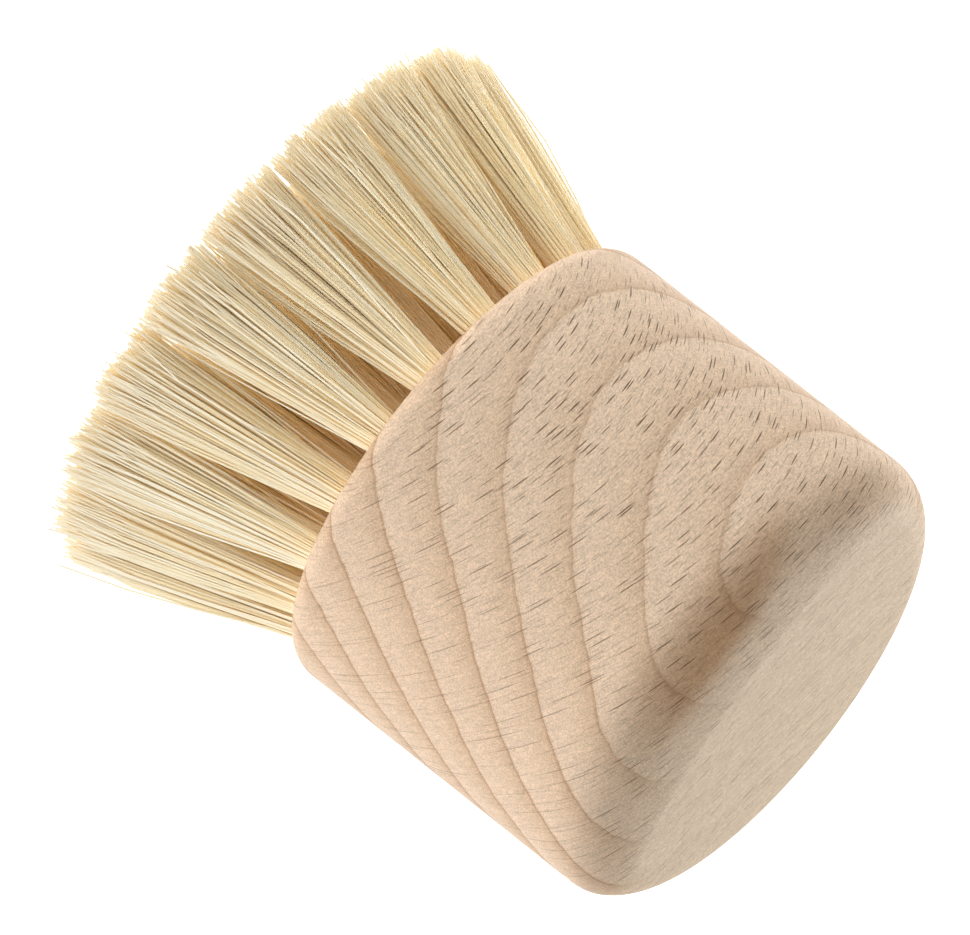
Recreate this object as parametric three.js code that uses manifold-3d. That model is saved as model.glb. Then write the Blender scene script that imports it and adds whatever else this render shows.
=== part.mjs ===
// A palm dish brush: a round beech block with a thumb scoop, and plant-fibre tufts held by wire anchors.
// Millimetres, +Z up. The brush stands on its fibre tips at z = 0, centred on the Z axis, the scoop facing -Y.
import * as THREE from "three";
import { mergeVertices } from "three/addons/utils/BufferGeometryUtils.js";
import Module from "manifold-3d";

const wasm = await Module();
wasm.setup();

// Handle block
const blockDiameter = 65;
const blockHeight = 51; // bristle face to flat top
const edgeRound = 6.3; // rounding of the top edge at the ends and the back
const faceRoundOut = 1.9; // rounding of the bristle face's edge, sideways
const faceRoundUp = 2.8; // the same rounding, upwards

// Thumb scoop, measured on the middle of the block's front
const scoopEdge = 13; // axis to the scoop's edge on the flat top
const scoopDepth = 8.2; // how far the front draws in from the scoop's foot to its edge
const scoopHeight = 9.5; // flat top down to the scoop's foot
const frontReach = 30; // axis to the foot of the front wall

// Fibre
const fibreHeight = 32.3; // surface that the brush stands on to the bristle face
const trimRadius = 500; // dome of the trimmed tips
const footCut = 0.5; // depth of the flat that is cut across the dome, on which the brush stands
const fanReach = 90; // bristle face up to the point from which all tufts fan out
const strandThickness = 1; // one lock of fibres
const flareOutward = 1.3; // growth of a tuft from root to tip, across its ring
const tuftGap = 2; // left between the tips of two neighbours in a ring

// Tufts and their holes
const ringCount = 3; // rings round the centre tuft
const tuftPitch = 9.3; // aimed spacing along a ring
const holeDiameter = 5;
const holeDepth = 12; // along the hole, from the bristle face
const edgeMargin = 0.6; // wood between the outer holes and the edge of the bristle face

// Slices of the bristle face that carry the tufts
const sliceThickness = 2;
const clearance = 0.3; // between any two pieces

// Wire anchors
const anchorBite = 0.5; // reach into the wood at each end
const anchorWidth = 2; // along the hole
const anchorThickness = 0.5;
const foldThickness = 1.2; // fibre folded over an anchor

// Fineness of the shapes
const blockSides = 44;
const edgeSteps = 6;
const wallSteps = 5;
const faceSteps = 2;
const holeSides = 8;
const strandSides = 3;
const weld = 1e-4;

// Locks of fibre in a tuft: rings of them, each with its count and its share of the tuft's radius
const strandRings = [
  { count: 2, share: 0.3 },
  { count: 8, share: 0.9 },
];

const faceZ = fibreHeight;
const topZ = faceZ + blockHeight;
const focus = new THREE.Vector3(0, 0, faceZ + fanReach);
const tipScale = 1 + fibreHeight / fanReach;
const anchorDepth = holeDepth - foldThickness - anchorWidth / 2 - 2 * clearance;
const anchorLength = holeDiameter + 2 * anchorBite;

// Solids

function solidOf(geometry, matrix = new THREE.Matrix4()) {
  const bare = geometry.clone().applyMatrix4(matrix);
  bare.deleteAttribute("normal");
  bare.deleteAttribute("uv");
  const merged = mergeVertices(bare, weld);
  const vertProperties = merged.attributes.position.array;
  const triVerts = new Uint32Array(merged.index.array);
  return new wasm.Manifold(new wasm.Mesh({ numProp: 3, vertProperties, triVerts }));
}

function geometryOf(solid) {
  const { vertProperties, triVerts } = solid.getMesh();
  const geometry = new THREE.BufferGeometry();
  geometry.setAttribute("position", new THREE.BufferAttribute(vertProperties, 3));
  geometry.setIndex(new THREE.BufferAttribute(triVerts, 1));
  geometry.computeVertexNormals();
  return geometry;
}

// A level slab, wider than the block, between two heights
function slab(fromZ, toZ) {
  const plate = new THREE.BoxGeometry(2 * blockDiameter, 2 * blockDiameter, toZ - fromZ);
  return solidOf(plate.translate(0, 0, (fromZ + toZ) / 2));
}

// An upright oval column that passes through the bristle face
function ovalColumn(halfX, halfY) {
  const column = new THREE.CylinderGeometry(1, 1, 4 * sliceThickness, blockSides);
  column.rotateX(Math.PI / 2).scale(halfX, halfY, 1).translate(0, 0, faceZ);
  return solidOf(column);
}

// Handle block

// How far a quarter-round edge draws in, at a distance from the face that it starts on
function edgeInset(distance, sideways, upwards) {
  const share = THREE.MathUtils.clamp(1 - distance / upwards, 0, 1);
  return sideways * (1 - Math.sqrt(1 - share * share));
}

function faceInset(drop) {
  return edgeInset(blockHeight - drop, faceRoundOut, faceRoundUp);
}

// Axis to the sides and the back, at a drop below the flat top
function sideReachAt(drop) {
  return blockDiameter / 2 - edgeInset(drop, edgeRound, edgeRound) - faceInset(drop);
}

// Axis to the middle of the front: a wall that leans back, with the scoop rolled in at its top
function frontReachAt(drop) {
  const left = Math.max(0, 1 - drop / scoopHeight);
  const scoop = scoopDepth * (1 - left * left);
  const wall = ((frontReach - scoopEdge - scoopDepth) * drop) / blockHeight;
  return scoopEdge + scoop + wall - faceInset(drop);
}

// Drops below the flat top at which the block's outline has a ring of points
function blockStations() {
  const wallEnd = blockHeight - faceRoundUp;
  const drops = [0, scoopHeight];
  for (let i = 1; i <= edgeSteps; i++) {
    drops.push(edgeRound * (1 - Math.cos((i / edgeSteps) * (Math.PI / 2))));
  }
  for (let i = 1; i <= wallSteps; i++) {
    drops.push(THREE.MathUtils.lerp(scoopHeight, wallEnd, i / wallSteps));
  }
  for (let i = 1; i <= faceSteps; i++) {
    drops.push(wallEnd + faceRoundUp * Math.sin((i / faceSteps) * (Math.PI / 2)));
  }
  return drops.sort((a, b) => a - b);
}

// The side outline turned about Z, with its front half drawn in to the scoop and the front wall
function wholeBlock() {
  const outline = blockStations().map((drop) => new THREE.Vector2(sideReachAt(drop), topZ - drop));
  outline.reverse();
  outline.unshift(new THREE.Vector2(0, faceZ));
  outline.push(new THREE.Vector2(0, topZ));
  const turned = new THREE.LatheGeometry(outline, blockSides).rotateX(Math.PI / 2);
  const points = turned.attributes.position;
  for (let i = 0; i < points.count; i++) {
    const drop = topZ - points.getZ(i);
    const y = points.getY(i);
    points.setY(i, y < 0 ? (y * frontReachAt(drop)) / sideReachAt(drop) : y);
  }
  return solidOf(turned);
}

// Tufts

function makeTuft(x, y, around, pitch) {
  const root = new THREE.Vector3(x, y, faceZ);
  const up = focus.clone().sub(root).normalize();
  const side = around.clone().addScaledVector(up, -around.dot(up)).normalize();
  const across = new THREE.Vector3().crossVectors(up, side);
  const frame = new THREE.Matrix4().makeBasis(side, across, up).setPosition(root);
  return { root, around, frame, pitch };
}

function ringOfTufts(halfX, halfY) {
  const oval = new THREE.EllipseCurve(0, 0, halfX, halfY, -Math.PI / 2, (3 * Math.PI) / 2);
  const count = 2 * Math.round(oval.getLength() / tuftPitch / 2);
  const pitch = oval.getLength() / count;
  return Array.from({ length: count }, (_, i) => {
    const place = oval.getPointAt(i / count);
    const tangent = oval.getTangentAt(i / count);
    return makeTuft(place.x, place.y, new THREE.Vector3(tangent.x, tangent.y, 0), pitch);
  });
}

// A round pin along a tuft's hole, between two depths from the bristle face
function pin(tuft, diameter, from, to) {
  const round = new THREE.CylinderGeometry(diameter / 2, diameter / 2, to - from, holeSides);
  round.rotateX(Math.PI / 2).translate(0, 0, (from + to) / 2);
  return solidOf(round, tuft.frame);
}

function anchorGeometry(growth) {
  const flat = new THREE.BoxGeometry(
    anchorThickness + 2 * growth,
    anchorLength + 2 * growth,
    anchorWidth + 2 * growth,
  );
  return flat.translate(0, 0, anchorDepth);
}

// The fibre that fills a hole, folded round its anchor
function foldedRoot(tuft) {
  const fill = pin(tuft, holeDiameter - 2 * clearance, sliceThickness / 2, holeDepth - clearance);
  return fill.subtract(solidOf(anchorGeometry(clearance), tuft.frame));
}

// Height at which a straight lock, from root at the bristle face to end at z = 0, meets the domed trim
function trimHeight(root, end) {
  const slopeX = (root.x - end.x) / fibreHeight;
  const slopeY = (root.y - end.y) / fibreHeight;
  const square = slopeX * slopeX + slopeY * slopeY;
  const linear = 2 * (trimRadius - end.x * slopeX - end.y * slopeY);
  const constant = end.x * end.x + end.y * end.y - 2 * trimRadius * footCut;
  return Math.max(0, (2 * constant) / (linear + Math.sqrt(linear * linear - 4 * square * constant)));
}

const strandOutline = new THREE.Shape(
  Array.from({ length: strandSides }, (_, i) => {
    const turn = (2 * Math.PI * i) / strandSides;
    return new THREE.Vector2(Math.cos(turn), Math.sin(turn)).multiplyScalar(strandThickness / 2);
  }),
);

// One lock of fibres with level ends, the upper one inside the slice and the lower one at the trim
function strand(tuft, aroundShare, acrossShare) {
  const across = new THREE.Vector3(-tuft.around.y, tuft.around.x, 0);
  const outmost = strandRings.at(-1);
  const outmostShare = outmost.share * Math.cos(Math.PI / outmost.count);
  const rootReach = (holeDiameter - strandThickness) / 2;
  const tipReach = (tuft.pitch * tipScale - tuftGap - strandThickness) / 2 / outmostShare;
  const root = tuft.root.clone();
  root.addScaledVector(tuft.around, aroundShare * rootReach);
  root.addScaledVector(across, acrossShare * rootReach);
  const end = new THREE.Vector3(tuft.root.x * tipScale, tuft.root.y * tipScale, 0);
  end.addScaledVector(tuft.around, aroundShare * tipReach);
  end.addScaledVector(across, acrossShare * rootReach * flareOutward);
  const tipZ = trimHeight(root, end);
  const startZ = faceZ + sliceThickness / 2;
  const lock = new THREE.ExtrudeGeometry(strandOutline, { depth: 1, bevelEnabled: false });
  const points = lock.attributes.position;
  for (let i = 0; i < points.count; i++) {
    const z = points.getZ(i) > 0.5 ? startZ : tipZ;
    const place = end.clone().lerp(root, z / fibreHeight);
    place.addScaledVector(tuft.around, points.getX(i));
    place.addScaledVector(across, points.getY(i));
    points.setXYZ(i, place.x, place.y, z);
  }
  return solidOf(lock);
}

function strandsOf(tuft) {
  return strandRings.flatMap(({ count, share }) =>
    Array.from({ length: count }, (_, i) => {
      const turn = (2 * Math.PI * (i + 0.5)) / count;
      return strand(tuft, share * Math.cos(turn), share * Math.sin(turn));
    }),
  );
}

function tuftedSlice(slice, tufts) {
  const pieces = tufts.flatMap((tuft) => [foldedRoot(tuft), ...strandsOf(tuft)]);
  return pieces.reduce((joined, piece) => joined.add(piece), slice);
}

// Layout: an outer ring inside the edge of the bristle face, even rings inside it, and a centre tuft

const outerX = sideReachAt(blockHeight) - edgeMargin - holeDiameter / 2;
const outerY = frontReachAt(blockHeight) - edgeMargin - holeDiameter / 2;
const groupNames = ["outer", "middle", "inner"];

function tuftGroups() {
  const groups = groupNames.slice(0, ringCount).map((name, i) => {
    const share = (ringCount - i) / ringCount;
    return { name, tufts: ringOfTufts(share * outerX, share * outerY) };
  });
  const pitch = groups.at(-1).tufts[0].pitch;
  groups.push({ name: "centre", tufts: [makeTuft(0, 0, new THREE.Vector3(1, 0, 0), pitch)] });
  return groups;
}

const groups = tuftGroups();

// Bristle face, cut into one slice for each group of tufts

const block = wholeBlock();
const faceSlice = block.intersect(slab(faceZ - sliceThickness, faceZ + sliceThickness));

// The oval halfway between two rings, counted from the centre, grown by half a clearance either way
function dividingColumn(ring, growth) {
  const share = (ring + 0.5) / ringCount;
  return ovalColumn(share * outerX + growth, share * outerY + growth);
}

function sliceOf(ring) {
  let slice = faceSlice;
  if (ring < ringCount) {
    slice = slice.intersect(dividingColumn(ring, -clearance / 2));
  }
  if (ring > 0) {
    slice = slice.subtract(dividingColumn(ring - 1, clearance / 2));
  }
  return slice;
}

// Handle block above the slices, with a blind hole and an anchor slot for each tuft

function drilledBlock() {
  let wood = block.subtract(slab(faceZ - sliceThickness, faceZ + sliceThickness + clearance));
  for (const tuft of groups.flatMap(({ tufts }) => tufts)) {
    wood = wood.subtract(pin(tuft, holeDiameter, 0, holeDepth));
    wood = wood.subtract(solidOf(anchorGeometry(clearance), tuft.frame));
  }
  return wood;
}

// Scene graph

const beech = { color: 0xd9b996, roughness: 0.72, metalness: 0 };
const fibre = { color: 0xe4d3a6, roughness: 0.8, metalness: 0 };
const wire = { color: 0xb9bcbe, roughness: 0.35, metalness: 1 };
const brush = new THREE.Group();

function addPiece(name, geometry, finish) {
  const piece = new THREE.Mesh(geometry, new THREE.MeshStandardMaterial(finish));
  piece.name = name;
  brush.add(piece);
  return piece;
}

addPiece("handle_block", geometryOf(drilledBlock()), beech);
groups.forEach(({ name, tufts }, i) => {
  const alone = tufts.length === 1;
  const tuftName = alone ? `${name}_tuft` : `${name}_tufts`;
  addPiece(tuftName, geometryOf(tuftedSlice(sliceOf(ringCount - i), tufts)), fibre);
  tufts.forEach((tuft, j) => {
    const number = String(j + 1).padStart(2, "0");
    const anchorName = alone ? `${name}_anchor` : `${name}_anchor_${number}`;
    addPiece(anchorName, anchorGeometry(0), wire).applyMatrix4(tuft.frame);
  });
});

export default brush;
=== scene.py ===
import math

import bmesh
import bpy
from mathutils import Matrix, Vector


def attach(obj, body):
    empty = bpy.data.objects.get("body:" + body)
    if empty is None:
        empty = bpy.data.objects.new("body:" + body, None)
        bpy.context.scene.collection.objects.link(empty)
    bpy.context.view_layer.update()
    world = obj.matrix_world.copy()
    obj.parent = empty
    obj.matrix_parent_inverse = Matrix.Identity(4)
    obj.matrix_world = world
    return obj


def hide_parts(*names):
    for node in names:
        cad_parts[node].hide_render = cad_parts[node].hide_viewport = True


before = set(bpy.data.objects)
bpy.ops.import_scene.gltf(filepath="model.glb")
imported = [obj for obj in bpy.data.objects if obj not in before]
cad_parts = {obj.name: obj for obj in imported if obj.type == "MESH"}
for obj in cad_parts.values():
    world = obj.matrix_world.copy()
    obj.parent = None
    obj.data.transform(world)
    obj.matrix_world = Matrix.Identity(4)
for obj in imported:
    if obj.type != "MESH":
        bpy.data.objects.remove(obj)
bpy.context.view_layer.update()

MM = 0.001

# Handle block, in millimetres
BLOCK_DIAMETER = 65
BLOCK_HEIGHT = 51
EDGE_ROUND = 6.3
FACE_ROUND_OUT = 1.9
FACE_ROUND_UP = 2.8
SCOOP_EDGE = 13.8
SCOOP_EDGE_SOFT = 2.4
SCOOP_EDGE_DROP = 2.4
SCOOP_DEPTH = 8.2
SCOOP_HEIGHT = 9.5
FRONT_REACH = 30

# Fibre, in millimetres
FIBRE_HEIGHT = 32.3
TRIM_RADIUS = 2000
FOOT_CUT = 0.1
FAN_REACH = 90
RING_NAMES = ["outer", "middle", "inner"]
TUFT_PITCH = 9.3
TUFT_GAP = 0.2
HOLE_DIAMETER = 5
HOLE_DEPTH = 12
EDGE_MARGIN = 0.6
FIBRES_IN_TUFT = 400
FIBRE_RADIUS = 0.155
FIBRE_SIDES = 3
FIBRE_SEGMENTS = 4
BUNDLE_CLEARANCE = 0.3
ROOT_DEPTH = 3
ROOT_SHIFT = -0.3
TIP_LEAN = -0.1
RAGGEDNESS = 2.6
WAVINESS = 0.65
STRAY_REACH = 2.4
LOCK_SIZE = 1.5

# Fibre, as shares and counts
INNER_TUFTS = 6
FLARE_ACROSS = 1.3
TRIM_SLOPE = 0.019
LOOSE_SHARE = 0.09
STRAY_SHARE = 0.035
STRAY_BEND = 0.4
LOCK_SHARE = 0.45
TAPER = 0.2
GOLDEN_TURN = 2.399963
FIRST_SEED = 20

# Wire anchors, in millimetres
ANCHOR_LENGTH = 6
ANCHOR_WIDTH = 2
ANCHOR_THICKNESS = 0.5
ANCHOR_DEPTH = 9.2
ANCHOR_ROOM = 0.3

FACE_Z = FIBRE_HEIGHT
TOP_Z = FIBRE_HEIGHT + BLOCK_HEIGHT
TIP_SCALE = 1 + FIBRE_HEIGHT / FAN_REACH

# Directions of the timber in the block: outwards through the growth rings, across the rays,
# and along the grain. Ring width in millimetres.
GRAIN_OUTWARD = Vector((-0.529, -0.499, 0.685)).normalized()
GRAIN_ACROSS = Vector((0.335, 0.645, 0.687)).normalized()
GRAIN_ALONG = GRAIN_ACROSS.cross(GRAIN_OUTWARD).normalized()
RING_WIDTH = 6.35

# Camera, with its distance and width of view in metres and the point that it looks at in millimetres:
# a height on the brush's axis, moved to the right and up in the picture
VIEW_AZIMUTH = math.radians(-9)
VIEW_ELEVATION = math.radians(19.3)
VIEW_ROLL = math.radians(128.36)
VIEW_DISTANCE = 1.6
VIEW_WIDTH = 0.119
VIEW_HEIGHT = 36.1
VIEW_SHIFT_RIGHT = 0.2844
VIEW_SHIFT_UP = 0.7889
SENSOR_WIDTH = 36

# Stage, in metres
FLOOR_HALF_SIZE = 20
LAMP_AIM_HEIGHT = 0.045


def linear(red, green, blue):
    """A colour as it looks on a screen, as the linear colour that a shader takes."""
    def channel(value):
        return value / 12.92 if value <= 0.04045 else ((value + 0.055) / 1.055) ** 2.4
    return (channel(red), channel(green), channel(blue), 1)


def add_node(tree, kind, inputs=None, **settings):
    """A new node, with its settings made first and then each input linked to a socket or set to a value."""
    made = tree.nodes.new(kind)
    for name, value in settings.items():
        setattr(made, name, value)
    for key, value in (inputs or {}).items():
        if isinstance(value, bpy.types.NodeSocket):
            tree.links.new(value, made.inputs[key])
        else:
            made.inputs[key].default_value = value
    return made


def link_mesh(name, mesh):
    made = bpy.data.objects.new(name, mesh)
    bpy.context.scene.collection.objects.link(made)
    return made


def applied(source, name):
    """The evaluated mesh of an object, as a new object without modifiers. The source is removed."""
    bpy.context.view_layer.update()
    depsgraph = bpy.context.evaluated_depsgraph_get()
    mesh = bpy.data.meshes.new_from_object(source.evaluated_get(depsgraph), depsgraph=depsgraph)
    bpy.data.objects.remove(source)
    mesh.name = name
    return link_mesh(name, mesh)


# Handle block


def edge_inset(distance, sideways, upwards):
    share = max(0, 1 - distance / upwards)
    return sideways * (1 - math.sqrt(1 - share * share))


def face_inset(drop):
    return edge_inset(BLOCK_HEIGHT - drop, FACE_ROUND_OUT, FACE_ROUND_UP)


def side_reach(drop):
    return BLOCK_DIAMETER / 2 - edge_inset(drop, EDGE_ROUND, EDGE_ROUND) - face_inset(drop)


def front_reach(drop):
    scoop = SCOOP_DEPTH * (1 - max(0, 1 - drop / SCOOP_HEIGHT) ** 2)
    soft_edge = SCOOP_EDGE_SOFT * max(0, 1 - math.sqrt(drop / SCOOP_EDGE_DROP))
    wall = (FRONT_REACH - SCOOP_EDGE - SCOOP_DEPTH) * drop / BLOCK_HEIGHT
    return SCOOP_EDGE + scoop - soft_edge + wall - face_inset(drop)


def block_drops():
    """Drops below the flat top at which the block has a ring of points, closer where it curves."""
    edge_steps = 22
    wall_steps = 30
    face_steps = 8
    wall_end = BLOCK_HEIGHT - FACE_ROUND_UP
    drops = [EDGE_ROUND * (1 - math.cos(math.pi / 2 * i / edge_steps)) for i in range(edge_steps + 1)]
    for i in range(1, wall_steps + 1):
        drops.append(EDGE_ROUND + (wall_end - EDGE_ROUND) * i / wall_steps)
    for i in range(1, face_steps + 1):
        drops.append(wall_end + FACE_ROUND_UP * math.sin(math.pi / 2 * i / face_steps))
    return drops


def block_mesh():
    sides = 144
    shape = bmesh.new()
    rings = []
    for drop in block_drops():
        ring = []
        for i in range(sides):
            turn = 2 * math.pi * i / sides
            depth = side_reach(drop) if math.sin(turn) >= 0 else front_reach(drop)
            place = Vector((side_reach(drop) * math.cos(turn), depth * math.sin(turn), TOP_Z - drop))
            ring.append(shape.verts.new(place * MM))
        rings.append(ring)
    for upper, lower in zip(rings, rings[1:]):
        for i in range(sides):
            j = (i + 1) % sides
            shape.faces.new((upper[i], lower[i], lower[j], upper[j]))
    shape.faces.new(rings[0])
    shape.faces.new(list(reversed(rings[-1])))
    mesh = bpy.data.meshes.new("handle_block")
    shape.to_mesh(mesh)
    shape.free()
    return mesh


# Tufts


class Tuft:
    def __init__(self, x, y, around, pitch):
        self.root = Vector((x, y, FACE_Z))
        self.around = around.normalized()
        self.spread = (pitch * TIP_SCALE - TUFT_GAP) / 2
        up = (Vector((0, 0, FACE_Z + FAN_REACH)) - self.root).normalized()
        side = (self.around - up * self.around.dot(up)).normalized()
        turn = Matrix((side, up.cross(side), up)).transposed().to_4x4()
        self.frame = Matrix.Translation(self.root) @ turn


def ring_of_tufts(half_x, half_y):
    """Tufts spaced evenly along an oval, the first one at the front."""
    steps = 2000
    places = []
    for i in range(steps + 1):
        turn = 2 * math.pi * i / steps - math.pi / 2
        places.append(Vector((half_x * math.cos(turn), half_y * math.sin(turn), 0)))
    run = [0.0]
    for before, after in zip(places, places[1:]):
        run.append(run[-1] + (after - before).length)
    count = 2 * round(run[-1] / TUFT_PITCH / 2)
    pitch = run[-1] / count
    tufts = []
    i = 0
    for number in range(count):
        while run[i + 1] <= number * pitch:
            i += 1
        share = (number * pitch - run[i]) / (run[i + 1] - run[i])
        place = places[i].lerp(places[i + 1], share)
        tufts.append(Tuft(place.x, place.y, places[i + 1] - places[i], pitch))
    return tufts


def tuft_groups():
    outer_x = side_reach(BLOCK_HEIGHT) - EDGE_MARGIN - HOLE_DIAMETER / 2
    outer_y = front_reach(BLOCK_HEIGHT) - EDGE_MARGIN - HOLE_DIAMETER / 2
    groups = {}
    for i, name in enumerate(RING_NAMES):
        share = 1 - i / len(RING_NAMES)
        groups[name + "_tufts"] = ring_of_tufts(outer_x * share, outer_y * share)
    pitch = 2 * math.pi * outer_x / len(RING_NAMES) / INNER_TUFTS
    groups["centre_tuft"] = [Tuft(0, 0, Vector((1, 0, 0)), pitch)]
    return groups


def cutter(name, tufts, add_shape):
    shape = bmesh.new()
    for tuft in tufts:
        place = Matrix.Diagonal((MM, MM, MM, 1)) @ tuft.frame
        add_shape(shape, place)
    mesh = bpy.data.meshes.new(name)
    shape.to_mesh(mesh)
    shape.free()
    return link_mesh(name, mesh)


def add_hole(shape, place):
    below = 2
    length = HOLE_DEPTH + below
    middle = Matrix.Translation((0, 0, length / 2 - below))
    radius = HOLE_DIAMETER / 2
    bmesh.ops.create_cone(shape, cap_ends=True, segments=28, radius1=radius, radius2=radius,
                          depth=length, matrix=place @ middle)


def add_slot(shape, place):
    size = [side + 2 * ANCHOR_ROOM for side in (ANCHOR_THICKNESS, ANCHOR_LENGTH, ANCHOR_WIDTH)]
    middle = Matrix.Translation((0, 0, ANCHOR_DEPTH))
    bmesh.ops.create_cube(shape, size=1, matrix=place @ middle @ Matrix.Diagonal((*size, 1)))


def make_block(tufts, wood):
    block = link_mesh("block_blank", block_mesh())
    cutters = [cutter("tuft_holes", tufts, add_hole), cutter("anchor_slots", tufts, add_slot)]
    for tool in cutters:
        cut = block.modifiers.new(tool.name, "BOOLEAN")
        cut.operation = "DIFFERENCE"
        cut.solver = "EXACT"
        cut.object = tool
    made = applied(block, "beech_block")
    for tool in cutters:
        bpy.data.objects.remove(tool)
    made.data.polygons.foreach_set("use_smooth", [True] * len(made.data.polygons))
    made.data.set_sharp_from_angle(angle=math.radians(35))
    made.data.materials.clear()
    made.data.materials.append(wood)
    return made


# Fibres: a node tree that fills each tuft point with fibres, from inside its hole to the trimmed tips


def add_tree_input(tree, name, kind, value=None):
    socket = tree.interface.new_socket(name, in_out="INPUT", socket_type=kind)
    if value is not None:
        socket.default_value = value


class Fields:
    """Short names for the maths nodes of a geometry or shader tree."""

    def __init__(self, tree):
        self.tree = tree

    def number(self, operation, *values):
        made = add_node(self.tree, "ShaderNodeMath", dict(enumerate(values)), operation=operation)
        return made.outputs[0]

    def vector(self, operation, *values):
        made = add_node(self.tree, "ShaderNodeVectorMath", dict(enumerate(values)), operation=operation)
        return made.outputs["Vector"]

    def dot(self, first, second):
        made = add_node(self.tree, "ShaderNodeVectorMath", {0: first, 1: second}, operation="DOT_PRODUCT")
        return made.outputs["Value"]

    def scaled(self, vector, factor):
        made = add_node(self.tree, "ShaderNodeVectorMath", {0: vector, "Scale": factor}, operation="SCALE")
        return made.outputs["Vector"]

    def parts(self, vector):
        return add_node(self.tree, "ShaderNodeSeparateXYZ", {0: vector}).outputs

    def joined(self, x, y, z):
        return add_node(self.tree, "ShaderNodeCombineXYZ", {0: x, 1: y, 2: z}).outputs[0]

    def named(self, name, kind):
        made = add_node(self.tree, "GeometryNodeInputNamedAttribute", {"Name": name}, data_type=kind)
        return made.outputs["Attribute"]

    def random(self, low, high, seed):
        limits = {2: low, 3: high, "Seed": seed}
        made = add_node(self.tree, "FunctionNodeRandomValue", limits, data_type="FLOAT")
        return made.outputs[1]

    def stored(self, geometry, name, kind, value):
        inputs = {"Geometry": geometry, "Name": name, "Value": value}
        made = add_node(self.tree, "GeometryNodeStoreNamedAttribute", inputs,
                        data_type=kind, domain="POINT")
        return made.outputs["Geometry"]


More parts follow.
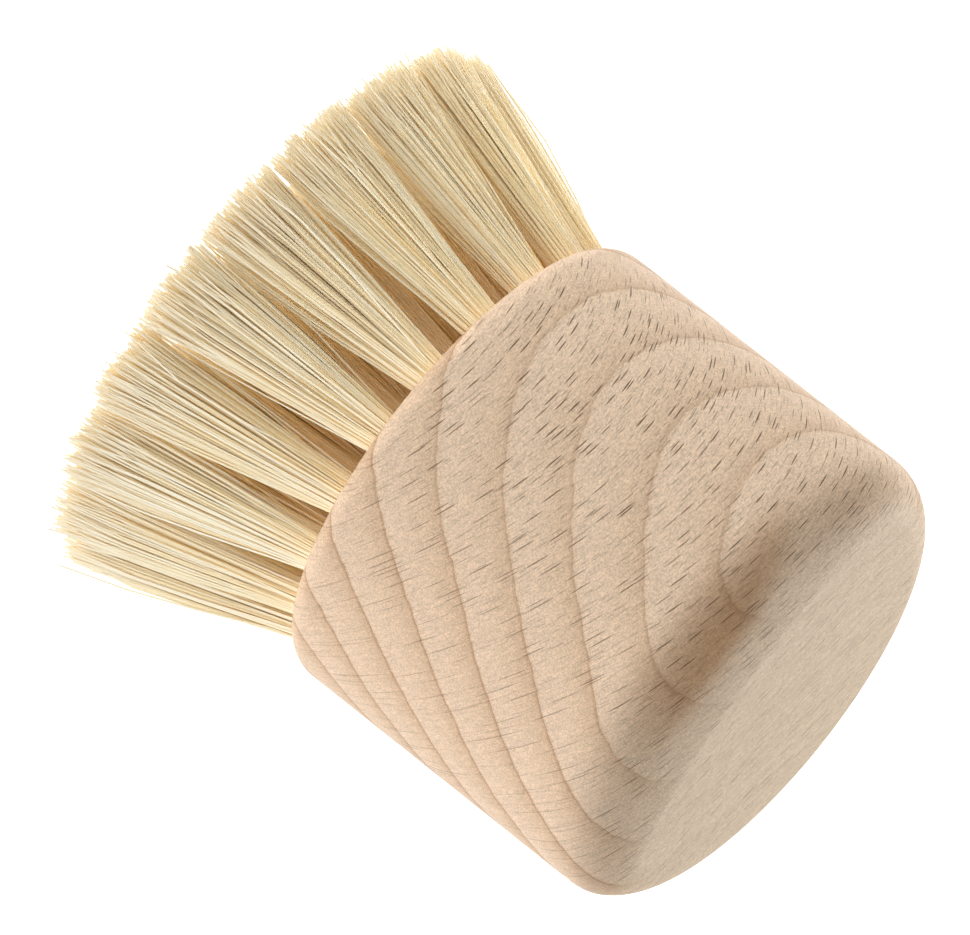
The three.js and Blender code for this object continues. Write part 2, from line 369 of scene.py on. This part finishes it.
def fibre_tree():
    tree = bpy.data.node_groups.new("tuft_fibres", "GeometryNodeTree")
    add_tree_input(tree, "Tuft points", "NodeSocketGeometry")
    add_tree_input(tree, "Fibres in a tuft", "NodeSocketInt", FIBRES_IN_TUFT)
    add_tree_input(tree, "Fibre radius", "NodeSocketFloat", FIBRE_RADIUS * MM)
    add_tree_input(tree, "Bundle radius", "NodeSocketFloat", (HOLE_DIAMETER / 2 - BUNDLE_CLEARANCE) * MM)
    add_tree_input(tree, "Root depth", "NodeSocketFloat", ROOT_DEPTH * MM)
    add_tree_input(tree, "Root shift", "NodeSocketVector", (ROOT_SHIFT * MM, 0, 0))
    add_tree_input(tree, "Face height", "NodeSocketFloat", FACE_Z * MM)
    add_tree_input(tree, "Tip scale", "NodeSocketFloat", TIP_SCALE)
    add_tree_input(tree, "Flare across", "NodeSocketFloat", FLARE_ACROSS)
    add_tree_input(tree, "Lean", "NodeSocketVector", (TIP_LEAN * MM, 0, 0))
    add_tree_input(tree, "Trim radius", "NodeSocketFloat", TRIM_RADIUS * MM)
    add_tree_input(tree, "Trim slope", "NodeSocketFloat", TRIM_SLOPE)
    add_tree_input(tree, "Foot cut", "NodeSocketFloat", FOOT_CUT * MM)
    add_tree_input(tree, "Raggedness", "NodeSocketFloat", RAGGEDNESS * MM)
    add_tree_input(tree, "Waviness", "NodeSocketFloat", WAVINESS * MM)
    add_tree_input(tree, "Stray reach", "NodeSocketFloat", STRAY_REACH * MM)
    # The painted warm glow of the inner tufts, from 0 to 1
    add_tree_input(tree, "Painted inner glow", "NodeSocketFloat", 0)
    add_tree_input(tree, "Seed", "NodeSocketInt", FIRST_SEED)
    add_tree_input(tree, "Material", "NodeSocketMaterial")
    tree.interface.new_socket("Fibres", in_out="OUTPUT", socket_type="NodeSocketGeometry")
    given = tree.nodes.new("NodeGroupInput").outputs
    field = Fields(tree)

    def seed(step):
        return field.number("ADD", given["Seed"], float(step))

    copying = {"Geometry": given["Tuft points"], "Amount": given["Fibres in a tuft"]}
    copies = add_node(tree, "GeometryNodeDuplicateElements", copying, domain="POINT")
    fibres = copies.outputs["Geometry"]
    number = field.number("ADD", copies.outputs["Duplicate Index"], 0.5)

    # An even sunflower layout over the bundle, the same share of the tuft at the root and at the tip
    reach = field.number("SQRT", field.number("DIVIDE", number, given["Fibres in a tuft"]))
    turn = field.number("MULTIPLY", number, GOLDEN_TURN)
    share_along = field.number("ADD", field.number("MULTIPLY", reach, field.number("COSINE", turn)),
                               field.random(-LOOSE_SHARE, LOOSE_SHARE, seed(1)))
    share_across = field.number("ADD", field.number("MULTIPLY", reach, field.number("SINE", turn)),
                                field.random(-LOOSE_SHARE, LOOSE_SHARE, seed(2)))
    around = field.named("around", "FLOAT_VECTOR")
    around_parts = field.parts(around)
    across = field.joined(field.number("MULTIPLY", around_parts[1], -1.0), around_parts[0], 0.0)
    place = add_node(tree, "GeometryNodeInputPosition").outputs[0]
    place_parts = field.parts(place)
    flat_place = field.joined(place_parts[0], place_parts[1], 0.0)

    # A few fibres in a hundred stray from their tuft
    stray = field.number("GREATER_THAN", field.random(0, 1, seed(3)), 1 - STRAY_SHARE)
    stray_reach = field.number("MULTIPLY", stray, given["Stray reach"])
    stray_x = field.number("MULTIPLY", stray_reach, field.random(-1, 1, seed(4)))
    stray_y = field.number("MULTIPLY", stray_reach, field.random(-1, 1, seed(5)))
    stray_move = field.joined(stray_x, stray_y, 0.0)

    def spread(centre, along_reach, across_reach):
        move_along = field.scaled(around, field.number("MULTIPLY", share_along, along_reach))
        move_across = field.scaled(across, field.number("MULTIPLY", share_across, across_reach))
        return field.vector("ADD", field.vector("ADD", centre, move_along), move_across)

    bundle = given["Bundle radius"]
    root_flat = spread(flat_place, bundle, bundle)
    root_scale = field.number("SUBTRACT", 1.0, field.number("DIVIDE", given["Root depth"], FAN_REACH * MM))
    root_height = field.number("ADD", given["Face height"], given["Root depth"])
    root = field.vector("ADD", field.scaled(root_flat, root_scale), field.joined(0.0, 0.0, root_height))
    root = field.vector("ADD", root, given["Root shift"])

    wide = field.named("spread", "FLOAT")
    tip_flat = spread(field.scaled(flat_place, given["Tip scale"]), wide,
                      field.number("MULTIPLY", bundle, given["Flare across"]))
    tip_flat = field.vector("ADD", field.vector("ADD", tip_flat, stray_move), given["Lean"])

    # Tips trimmed to a dome on a slight slope, left ragged by single fibres and by locks
    dome = field.number("DIVIDE", field.dot(tip_flat, tip_flat),
                        field.number("MULTIPLY", given["Trim radius"], 2.0))
    from_right = field.number("SUBTRACT", BLOCK_DIAMETER / 2 * MM, field.parts(tip_flat)[0])
    dome = field.number("ADD", dome, field.number("MULTIPLY", given["Trim slope"], from_right))
    trimmed = field.number("MAXIMUM", 0.0, field.number("SUBTRACT", dome, given["Foot cut"]))
    lock_place = field.scaled(tip_flat, 1 / (LOCK_SIZE * MM))
    locks = add_node(tree, "ShaderNodeTexVoronoi", {"Vector": lock_place, "Scale": 1.0})
    lock_chance = field.number("POWER", field.parts(locks.outputs["Color"])[0], 2.0)
    chance = field.number("POWER", field.random(0, 1, seed(6)), 4.0)
    chance = field.number("ADD", chance, field.number("MULTIPLY", lock_chance, LOCK_SHARE))
    ragged = field.number("MULTIPLY", given["Raggedness"], chance)
    tip = field.vector("ADD", tip_flat, field.joined(0.0, 0.0, field.number("ADD", trimmed, ragged)))

    bend_size = field.number("ADD", given["Waviness"], field.number("MULTIPLY", stray_reach, STRAY_BEND))
    bend_x = field.number("MULTIPLY", bend_size, field.random(-1, 1, seed(7)))
    bend_y = field.number("MULTIPLY", bend_size, field.random(-1, 1, seed(8)))
    bend = field.joined(bend_x, bend_y, 0.0)
    girth = field.number("MULTIPLY", given["Fibre radius"], field.random(0.7, 1.25, seed(9)))
    fibres = field.stored(fibres, "root", "FLOAT_VECTOR", root)
    fibres = field.stored(fibres, "tip", "FLOAT_VECTOR", tip)
    fibres = field.stored(fibres, "bend", "FLOAT_VECTOR", bend)
    fibres = field.stored(fibres, "girth", "FLOAT", girth)
    fibres = field.stored(fibres, "tone", "FLOAT", field.random(0, 1, seed(10)))
    fibres = field.stored(fibres, "painted_inner_glow", "FLOAT", given["Painted inner glow"])

    rod = {"Vertices": FIBRE_SIDES, "Side Segments": FIBRE_SEGMENTS, "Radius": 1, "Depth": 1}
    straight = add_node(tree, "GeometryNodeMeshCylinder", rod, fill_type="NGON")
    profile_place = add_node(tree, "GeometryNodeInputPosition").outputs[0]
    blank = field.stored(straight.outputs["Mesh"], "profile", "FLOAT_VECTOR", profile_place)
    grown = add_node(tree, "GeometryNodeInstanceOnPoints", {"Points": fibres, "Instance": blank})
    real = add_node(tree, "GeometryNodeRealizeInstances", {"Geometry": grown.outputs["Instances"]})

    # Each fibre is drawn from its root to its tip along a shallow arc
    profile = field.parts(field.named("profile", "FLOAT_VECTOR"))
    along = field.number("SUBTRACT", 0.5, profile[2])
    ends = {"Factor": along, 4: field.named("root", "FLOAT_VECTOR"), 5: field.named("tip", "FLOAT_VECTOR")}
    straight_place = add_node(tree, "ShaderNodeMix", ends, data_type="VECTOR")
    along_squared = field.number("MULTIPLY", along, along)
    arc = field.number("MULTIPLY", along_squared, field.number("SUBTRACT", 1.0, along))
    arc = field.number("MULTIPLY", arc, 6.0)
    bow = field.scaled(field.named("bend", "FLOAT_VECTOR"), arc)
    bent = field.vector("ADD", straight_place.outputs[1], bow)
    taper = field.number("SUBTRACT", 1.0, field.number("MULTIPLY", along_squared, TAPER))
    thick = field.number("MULTIPLY", field.named("girth", "FLOAT"), taper)
    around_fibre = field.scaled(field.joined(profile[0], profile[1], 0.0), thick)
    shaping = {"Geometry": real.outputs["Geometry"], "Position": field.vector("ADD", bent, around_fibre)}
    shaped = add_node(tree, "GeometryNodeSetPosition", shaping)
    coloured = field.stored(shaped.outputs["Geometry"], "along", "FLOAT", along)
    for name in ("profile", "root", "tip", "bend", "girth", "around", "spread"):
        bare = add_node(tree, "GeometryNodeRemoveAttribute", {"Geometry": coloured, "Name": name})
        coloured = bare.outputs["Geometry"]
    flat = add_node(tree, "GeometryNodeSetShadeSmooth", {"Geometry": coloured, "Shade Smooth": False})
    finishing = {"Geometry": flat.outputs["Geometry"], "Material": given["Material"]}
    finish = add_node(tree, "GeometryNodeSetMaterial", finishing)
    add_node(tree, "NodeGroupOutput", {"Fibres": finish.outputs["Geometry"]})
    return tree


def make_fibres(name, tufts, tree, material, painted_inner_glow, seed):
    mesh = bpy.data.meshes.new(name + "_points")
    mesh.from_pydata([tuft.root * MM for tuft in tufts], [], [])
    mesh.attributes.new("around", "FLOAT_VECTOR", "POINT")
    mesh.attributes.new("spread", "FLOAT", "POINT")
    for i, tuft in enumerate(tufts):
        mesh.attributes["around"].data[i].vector = tuft.around
        mesh.attributes["spread"].data[i].value = tuft.spread * MM
    points = link_mesh(name + "_points", mesh)
    grow = points.modifiers.new("Fibres", "NODES")
    grow.node_group = tree
    inputs = {item.name: item.identifier for item in tree.interface.items_tree if item.in_out == "INPUT"}
    grow[inputs["Painted inner glow"]] = painted_inner_glow
    grow[inputs["Seed"]] = seed
    grow[inputs["Material"]] = material
    made = applied(points, name.replace("tuft", "fibre"))
    made.data.materials.clear()
    made.data.materials.append(material)
    made.data.polygons.foreach_set("material_index", [0] * len(made.data.polygons))
    return made


# Materials


def new_material(name):
    made = bpy.data.materials.new(name)
    made.use_nodes = True
    return made, made.node_tree, made.node_tree.nodes["Principled BSDF"]


def ramp(tree, factor, stops):
    made = add_node(tree, "ShaderNodeValToRGB", {"Fac": factor})
    elements = made.color_ramp.elements
    while len(elements) < len(stops):
        elements.new(0.5)
    for element, (position, colour) in zip(elements, stops):
        element.position = position
        element.color = colour
    return made.outputs["Color"]


def mixed(tree, factor, first, second, blend="MIX"):
    inputs = {0: factor, 6: first, 7: second}
    return add_node(tree, "ShaderNodeMix", inputs, data_type="RGBA", blend_type=blend).outputs[2]


def remapped(tree, value, from_low, from_high, to_low, to_high, smooth=True):
    kind = "SMOOTHSTEP" if smooth else "LINEAR"
    inputs = {"Value": value, "From Min": from_low, "From Max": from_high,
              "To Min": to_low, "To Max": to_high}
    return add_node(tree, "ShaderNodeMapRange", inputs, interpolation_type=kind).outputs["Result"]


def beech():
    material, tree, shader = new_material("beech")
    field = Fields(tree)
    place = add_node(tree, "ShaderNodeTexCoord").outputs["Object"]
    place = field.scaled(place, 1 / MM)

    def noise(vector, scale, detail=2.0, roughness=0.5):
        inputs = {"Vector": vector, "Scale": scale, "Detail": detail, "Roughness": roughness}
        return add_node(tree, "ShaderNodeTexNoise", inputs).outputs["Fac"]

    along = field.dot(place, GRAIN_ALONG)
    across = field.dot(place, GRAIN_ACROSS)
    outward = field.dot(place, GRAIN_OUTWARD)

    def grain_place(along_size, across_size, outward_size):
        return field.joined(field.number("DIVIDE", along, along_size),
                            field.number("DIVIDE", across, across_size),
                            field.number("DIVIDE", outward, outward_size))

    def grey(value):
        return field.joined(value, value, value)

    # Growth rings: pale early wood that deepens to a thin darker line
    slow = field.number("MULTIPLY", field.number("SUBTRACT", noise(place, 0.035, 1.0), 0.5), 3.0)
    fine = field.number("MULTIPLY", field.number("SUBTRACT", noise(place, 0.45, 3.0), 0.5), 0.7)
    ring = field.number("ADD", field.number("ADD", outward, slow), fine)
    ring = field.number("ADD", field.number("DIVIDE", ring, RING_WIDTH), 0.2)
    in_ring = field.number("FRACT", ring)
    wood = ramp(tree, in_ring, [
        (0.0, linear(0.84, 0.73, 0.615)),
        (0.05, linear(0.885, 0.78, 0.675)),
        (0.35, linear(0.88, 0.772, 0.665)),
        (0.7, linear(0.86, 0.745, 0.63)),
        (0.93, linear(0.815, 0.69, 0.57)),
        (0.985, linear(0.735, 0.59, 0.465)),
    ])

    # The rings fade on the flat top and where the surface runs along them
    facing = add_node(tree, "ShaderNodeNewGeometry").outputs["Normal"]
    level = remapped(tree, field.parts(facing)[2], 0.75, 0.98, 0, 1)
    cut_along = field.number("ABSOLUTE", field.dot(facing, GRAIN_OUTWARD))
    fade = field.number("MAXIMUM", remapped(tree, cut_along, 0.3, 0.8, 0, 0.4),
                        field.number("MULTIPLY", level, 0.85))
    wood = mixed(tree, fade, wood, linear(0.87, 0.782, 0.672))

    # Soft streaks along the grain
    streaks = noise(grain_place(9, 0.7, 1.4), 1.0, 3.0, 0.6)
    streak_shade = remapped(tree, streaks, 0.3, 0.7, 0.94, 1.04)
    lines = noise(grain_place(12, 0.22, 0.9), 1.0, 2.0, 0.6)
    streak_shade = field.number("MULTIPLY", streak_shade, remapped(tree, lines, 0.3, 0.7, 0.955, 1.03))
    wood = mixed(tree, 1.0, wood, grey(streak_shade), "MULTIPLY")

    # Rays: lens-shaped flecks, short along the grain, thin across it and long through the rings.
    # Spacing and half sizes are in millimetres in that order.
    def flecks(spacing, half_size):
        cell_place = grain_place(*spacing)
        layout = {"Vector": cell_place, "Scale": 1.0, "Randomness": 1.0}
        cells = add_node(tree, "ShaderNodeTexVoronoi", layout)
        offset = field.vector("SUBTRACT", cell_place, cells.outputs["Position"])
        offset = field.vector("MULTIPLY", offset, Vector([s / h for s, h in zip(spacing, half_size)]))
        away = add_node(tree, "ShaderNodeVectorMath", {0: offset}, operation="LENGTH").outputs["Value"]
        shape = remapped(tree, away, 0.55, 1.0, 1, 0)
        chance = field.parts(cells.outputs["Color"])[0]
        return field.number("MULTIPLY", shape, remapped(tree, chance, 0.0, 0.8, 0.15, 1))

    bold = flecks((3.3, 0.68, 20), (1.5, 0.088, 10))
    small = flecks((1.7, 0.42, 11), (0.7, 0.06, 5.5))
    rays = field.number("MAXIMUM", field.number("MULTIPLY", bold, 0.95),
                        field.number("MULTIPLY", small, 0.5))
    off_top = field.number("SUBTRACT", 1.0, field.number("MULTIPLY", level, 0.4))
    rays = field.number("MULTIPLY", rays, off_top)
    rays = field.number("MULTIPLY", rays, remapped(tree, cut_along, 0.2, 0.85, 0.42, 1))
    wood = mixed(tree, rays, wood, linear(0.37, 0.26, 0.16))

    # Painted shade: the scoop is painted a little darker and warmer, fading out towards the right, for the
    # shade that falls in it
    x, y, z = field.parts(place)
    high_up = remapped(tree, z, TOP_Z - 11, TOP_Z - 3, 0, 1)
    to_front = remapped(tree, y, -SCOOP_EDGE - 5, -SCOOP_EDGE - 1, 1, 0)
    to_left = remapped(tree, x, -2, 17, 1, 0)
    painted_scoop_shade = field.number("MULTIPLY", field.number("MULTIPLY", high_up, to_front), to_left)
    wood = mixed(tree, painted_scoop_shade, wood, linear(0.865, 0.79, 0.705), "MULTIPLY")

    # Pores as a fine speckle
    pores = noise(grain_place(0.42, 0.19, 0.19), 1.0, 2.0, 0.8)
    pore_shade = remapped(tree, pores, 0.34, 0.66, 1.17, 0.83)
    wood = mixed(tree, 1.0, wood, grey(pore_shade), "MULTIPLY")
    tree.links.new(wood, shader.inputs["Base Color"])
    tree.links.new(remapped(tree, pores, 0.3, 0.7, 0.56, 0.72), shader.inputs["Roughness"])
    height = field.number("ADD", field.number("MULTIPLY", pores, 0.5), field.number("MULTIPLY", rays, -0.4))
    bump = add_node(tree, "ShaderNodeBump", {"Height": height, "Strength": 0.25, "Distance": 0.06 * MM})
    tree.links.new(bump.outputs["Normal"], shader.inputs["Normal"])
    shader.inputs["Specular IOR Level"].default_value = 0.3
    return material


def plant_fibre():
    material, tree, shader = new_material("plant_fibre")
    field = Fields(tree)
    tone = add_node(tree, "ShaderNodeAttribute", attribute_name="tone").outputs["Fac"]
    along = add_node(tree, "ShaderNodeAttribute", attribute_name="along").outputs["Fac"]
    strand = ramp(tree, tone, [
        (0.0, linear(0.55, 0.42, 0.25)),
        (0.01, linear(0.97, 0.895, 0.72)),
        (0.3, linear(0.99, 0.945, 0.815)),
        (0.7, linear(0.993, 0.958, 0.85)),
        (1.0, linear(0.996, 0.973, 0.90)),
    ])
    place = add_node(tree, "ShaderNodeTexCoord").outputs["Object"]
    spots = {"Vector": place, "Scale": 260.0, "Detail": 2.0}
    mottle = add_node(tree, "ShaderNodeTexNoise", spots).outputs["Fac"]
    strand = mixed(tree, remapped(tree, mottle, 0.5, 0.8, 0, 0.2), strand, linear(0.98, 0.91, 0.72))
    # Painted shade: the fibres are a little warmer and darker towards their roots, deep in the tuft
    strand = mixed(tree, remapped(tree, along, 0.0, 0.5, 0.3, 0), strand, linear(0.99, 0.91, 0.74))
    # Painted warm glow: the inner tufts are tinted warmer, most towards their roots, for the warm light
    # that passes through the fibres deep in the brush
    inner = add_node(tree, "ShaderNodeAttribute", attribute_name="painted_inner_glow").outputs["Fac"]
    painted_inner_glow = field.number("MULTIPLY", inner, remapped(tree, along, 0.4, 0.95, 0.9, 0.1))
    strand = mixed(tree, painted_inner_glow, strand, linear(0.998, 0.945, 0.825))
    strand = mixed(tree, remapped(tree, along, 0.55, 0.95, 0, 0.9), strand, linear(0.978, 0.94, 0.84))
    tree.links.new(strand, shader.inputs["Base Color"])
    tree.links.new(remapped(tree, mottle, 0.3, 0.7, 0.42, 0.6), shader.inputs["Roughness"])
    shader.inputs["Specular IOR Level"].default_value = 0.35
    return material


def anchor_wire():
    material, tree, shader = new_material("anchor_wire")
    place = add_node(tree, "ShaderNodeTexCoord").outputs["Object"]
    marks = {"Vector": place, "Scale": 1800.0, "Detail": 3.0}
    drawn = add_node(tree, "ShaderNodeTexNoise", marks).outputs["Fac"]
    steel = ramp(tree, drawn, [(0.3, linear(0.62, 0.63, 0.64)), (0.7, linear(0.78, 0.79, 0.80))])
    tree.links.new(steel, shader.inputs["Base Color"])
    tree.links.new(remapped(tree, drawn, 0.3, 0.7, 0.28, 0.45), shader.inputs["Roughness"])
    shader.inputs["Metallic"].default_value = 1
    bump = add_node(tree, "ShaderNodeBump", {"Height": drawn, "Strength": 0.15, "Distance": 0.02 * MM})
    tree.links.new(bump.outputs["Normal"], shader.inputs["Normal"])
    return material


def shown_to_camera(tree):
    """1 for rays that see the backdrop directly or by reflection, 0 for those that light the brush."""
    field = Fields(tree)
    path = add_node(tree, "ShaderNodeLightPath").outputs
    seen = field.number("MAXIMUM", path["Is Camera Ray"], path["Is Glossy Ray"])
    return field.number("MAXIMUM", seen, path["Is Transmission Ray"])


def white_floor():
    material, tree, shader = new_material("white_floor")
    shader.inputs["Roughness"].default_value = 0.9
    shader.inputs["Base Color"].default_value = (0.9, 0.9, 0.9, 1)
    shader.inputs["Specular IOR Level"].default_value = 0
    shader.inputs["Emission Color"].default_value = (1, 1, 1, 1)
    glow = remapped(tree, shown_to_camera(tree), 0, 1, 1, 0.8, False)
    tree.links.new(glow, shader.inputs["Emission Strength"])
    return material


# Stage


def view_axes():
    right = Vector((math.cos(VIEW_AZIMUTH), math.sin(VIEW_AZIMUTH), 0))
    away = Vector((-math.sin(VIEW_AZIMUTH), math.cos(VIEW_AZIMUTH), 0))
    return right, away


def add_camera():
    right, away = view_axes()
    towards = -away * math.cos(VIEW_ELEVATION) + Vector((0, 0, math.sin(VIEW_ELEVATION)))
    up = towards.cross(right)
    image_right = right * math.cos(VIEW_ROLL) + up * math.sin(VIEW_ROLL)
    image_up = up * math.cos(VIEW_ROLL) - right * math.sin(VIEW_ROLL)
    target = Vector((0, 0, VIEW_HEIGHT)) + image_right * VIEW_SHIFT_RIGHT + image_up * VIEW_SHIFT_UP
    target *= MM
    lens = bpy.data.cameras.new("camera")
    lens.sensor_width = SENSOR_WIDTH
    lens.lens = SENSOR_WIDTH * VIEW_DISTANCE / VIEW_WIDTH
    lens.clip_end = 50
    camera = bpy.data.objects.new("camera", lens)
    turn = Matrix((image_right, image_up, towards)).transposed().to_4x4()
    camera.matrix_world = Matrix.Translation(target + towards * VIEW_DISTANCE) @ turn
    bpy.context.scene.collection.objects.link(camera)
    bpy.context.scene.camera = camera


def add_lamp(name, to_right, to_back, to_top, distance, size, power):
    right, away = view_axes()
    direction = (right * to_right + away * to_back + Vector((0, 0, to_top))).normalized()
    lamp = bpy.data.lights.new(name, "AREA")
    lamp.shape = "DISK"
    lamp.size = size
    lamp.energy = power
    made = bpy.data.objects.new(name, lamp)
    made.location = Vector((0, 0, LAMP_AIM_HEIGHT)) + direction * distance
    made.rotation_euler = direction.to_track_quat("Z", "Y").to_euler()
    bpy.context.scene.collection.objects.link(made)


def add_stage():
    shape = bmesh.new()
    bmesh.ops.create_grid(shape, x_segments=1, y_segments=1, size=FLOOR_HALF_SIZE)
    mesh = bpy.data.meshes.new("floor")
    shape.to_mesh(mesh)
    shape.free()
    mesh.materials.append(white_floor())
    link_mesh("floor", mesh)
    world = bpy.data.worlds.new("studio")
    world.use_nodes = True
    tree = world.node_tree
    background = tree.nodes["Background"]
    background.inputs["Color"].default_value = (1, 1, 1, 1)
    strength = remapped(tree, shown_to_camera(tree), 0, 1, 0.06, 1, False)
    tree.links.new(strength, background.inputs["Strength"])
    bpy.context.scene.world = world
    add_lamp("key", to_right=-0.3, to_back=0.64, to_top=0.7, distance=0.9, size=0.5, power=7.1)
    add_lamp("front_fill", to_right=0.15, to_back=-1, to_top=-0.05, distance=1, size=0.7, power=2.2)
    add_lamp("left_fill", to_right=-1, to_back=-0.35, to_top=0.02, distance=1, size=1.2, power=2.7)
    add_lamp("right_fill", to_right=1, to_back=-0.4, to_top=0.08, distance=1, size=1, power=5.8)


# Assembly

groups = tuft_groups()
all_tufts = [tuft for tufts in groups.values() for tuft in tufts]

block = make_block(all_tufts, beech())
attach(block, "root")
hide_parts("handle_block")

fibre_finish = plant_fibre()
fibre_nodes = fibre_tree()
for number, (node_name, tufts) in enumerate(groups.items()):
    # The inner tufts get the painted warm glow
    painted_inner_glow = 0.0 if node_name == "outer_tufts" else 1.0
    fibres = make_fibres(node_name, tufts, fibre_nodes, fibre_finish, painted_inner_glow, FIRST_SEED + number)
    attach(fibres, "root")
    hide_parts(node_name)

wire_finish = anchor_wire()
for node_name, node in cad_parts.items():
    if "_anchor" in node_name:
        node.data.materials.clear()
        node.data.materials.append(wire_finish)

add_stage()
add_camera()

scene = bpy.context.scene
scene.view_settings.view_transform = "Standard"
scene.cycles.max_bounces = 16
scene.cycles.diffuse_bounces = 14

bpy.context.view_layer.update()
